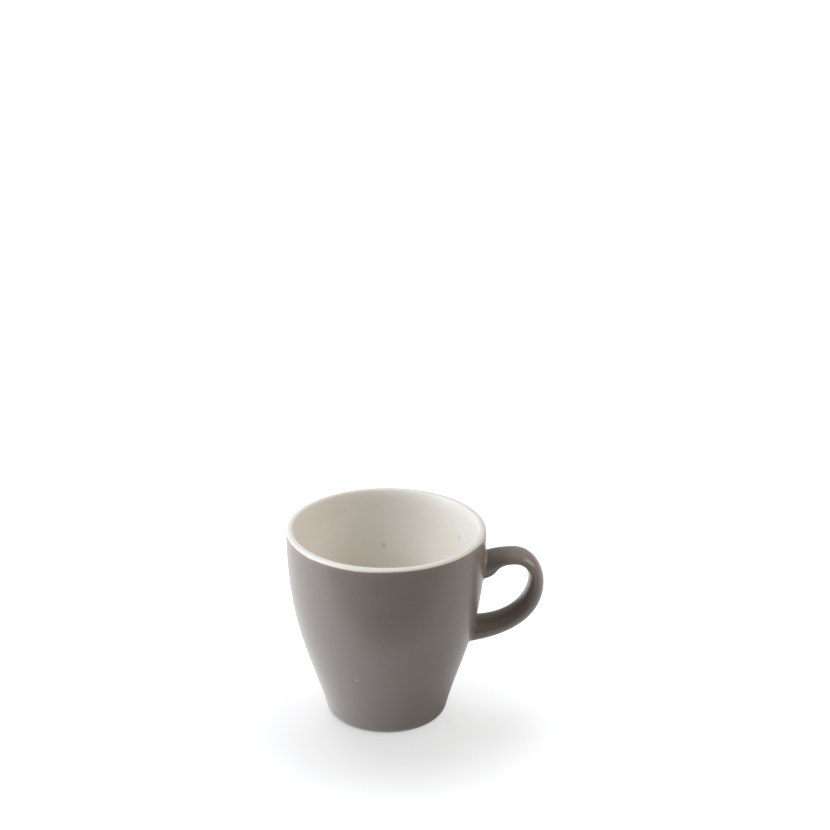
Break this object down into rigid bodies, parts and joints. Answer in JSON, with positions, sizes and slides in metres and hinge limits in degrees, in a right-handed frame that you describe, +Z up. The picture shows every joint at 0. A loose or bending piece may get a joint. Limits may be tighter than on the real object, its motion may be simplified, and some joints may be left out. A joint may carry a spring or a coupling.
{
  "type": "coffee cup",
  "caption": "Tapered glazed stoneware coffee cup with an upright lip, a rounded heel on a small bare foot ring and a slim teardrop loop handle for holding hot drinks.",
  "frame": {"origin": "on the surface that the cup stands on, under the middle of its overall length, handle included", "axes": "+Z up along the cup's axis, +X towards the handle, Y across; the handle lies in the XZ plane"},
  "size_m": [0.1035, 0.08, 0.0815],
  "materials": {
    "bare_clay": "unglazed fired stoneware",
    "dried_slip": "fired joining slip",
    "white_glaze": "warm white semi-gloss glaze",
    "taupe_glaze": "taupe grey satin glaze"
  },
  "bodies": {
    "root": {"cup_body": "bare_clay", "handle": "bare_clay", "upper_slip_joint": "dried_slip", "lower_slip_joint": "dried_slip", "liner_glaze": "white_glaze", "wall_glaze": "taupe_glaze", "handle_glaze": "taupe_glaze", "underside_glaze": "taupe_glaze"}
  },
  "joints": []
}
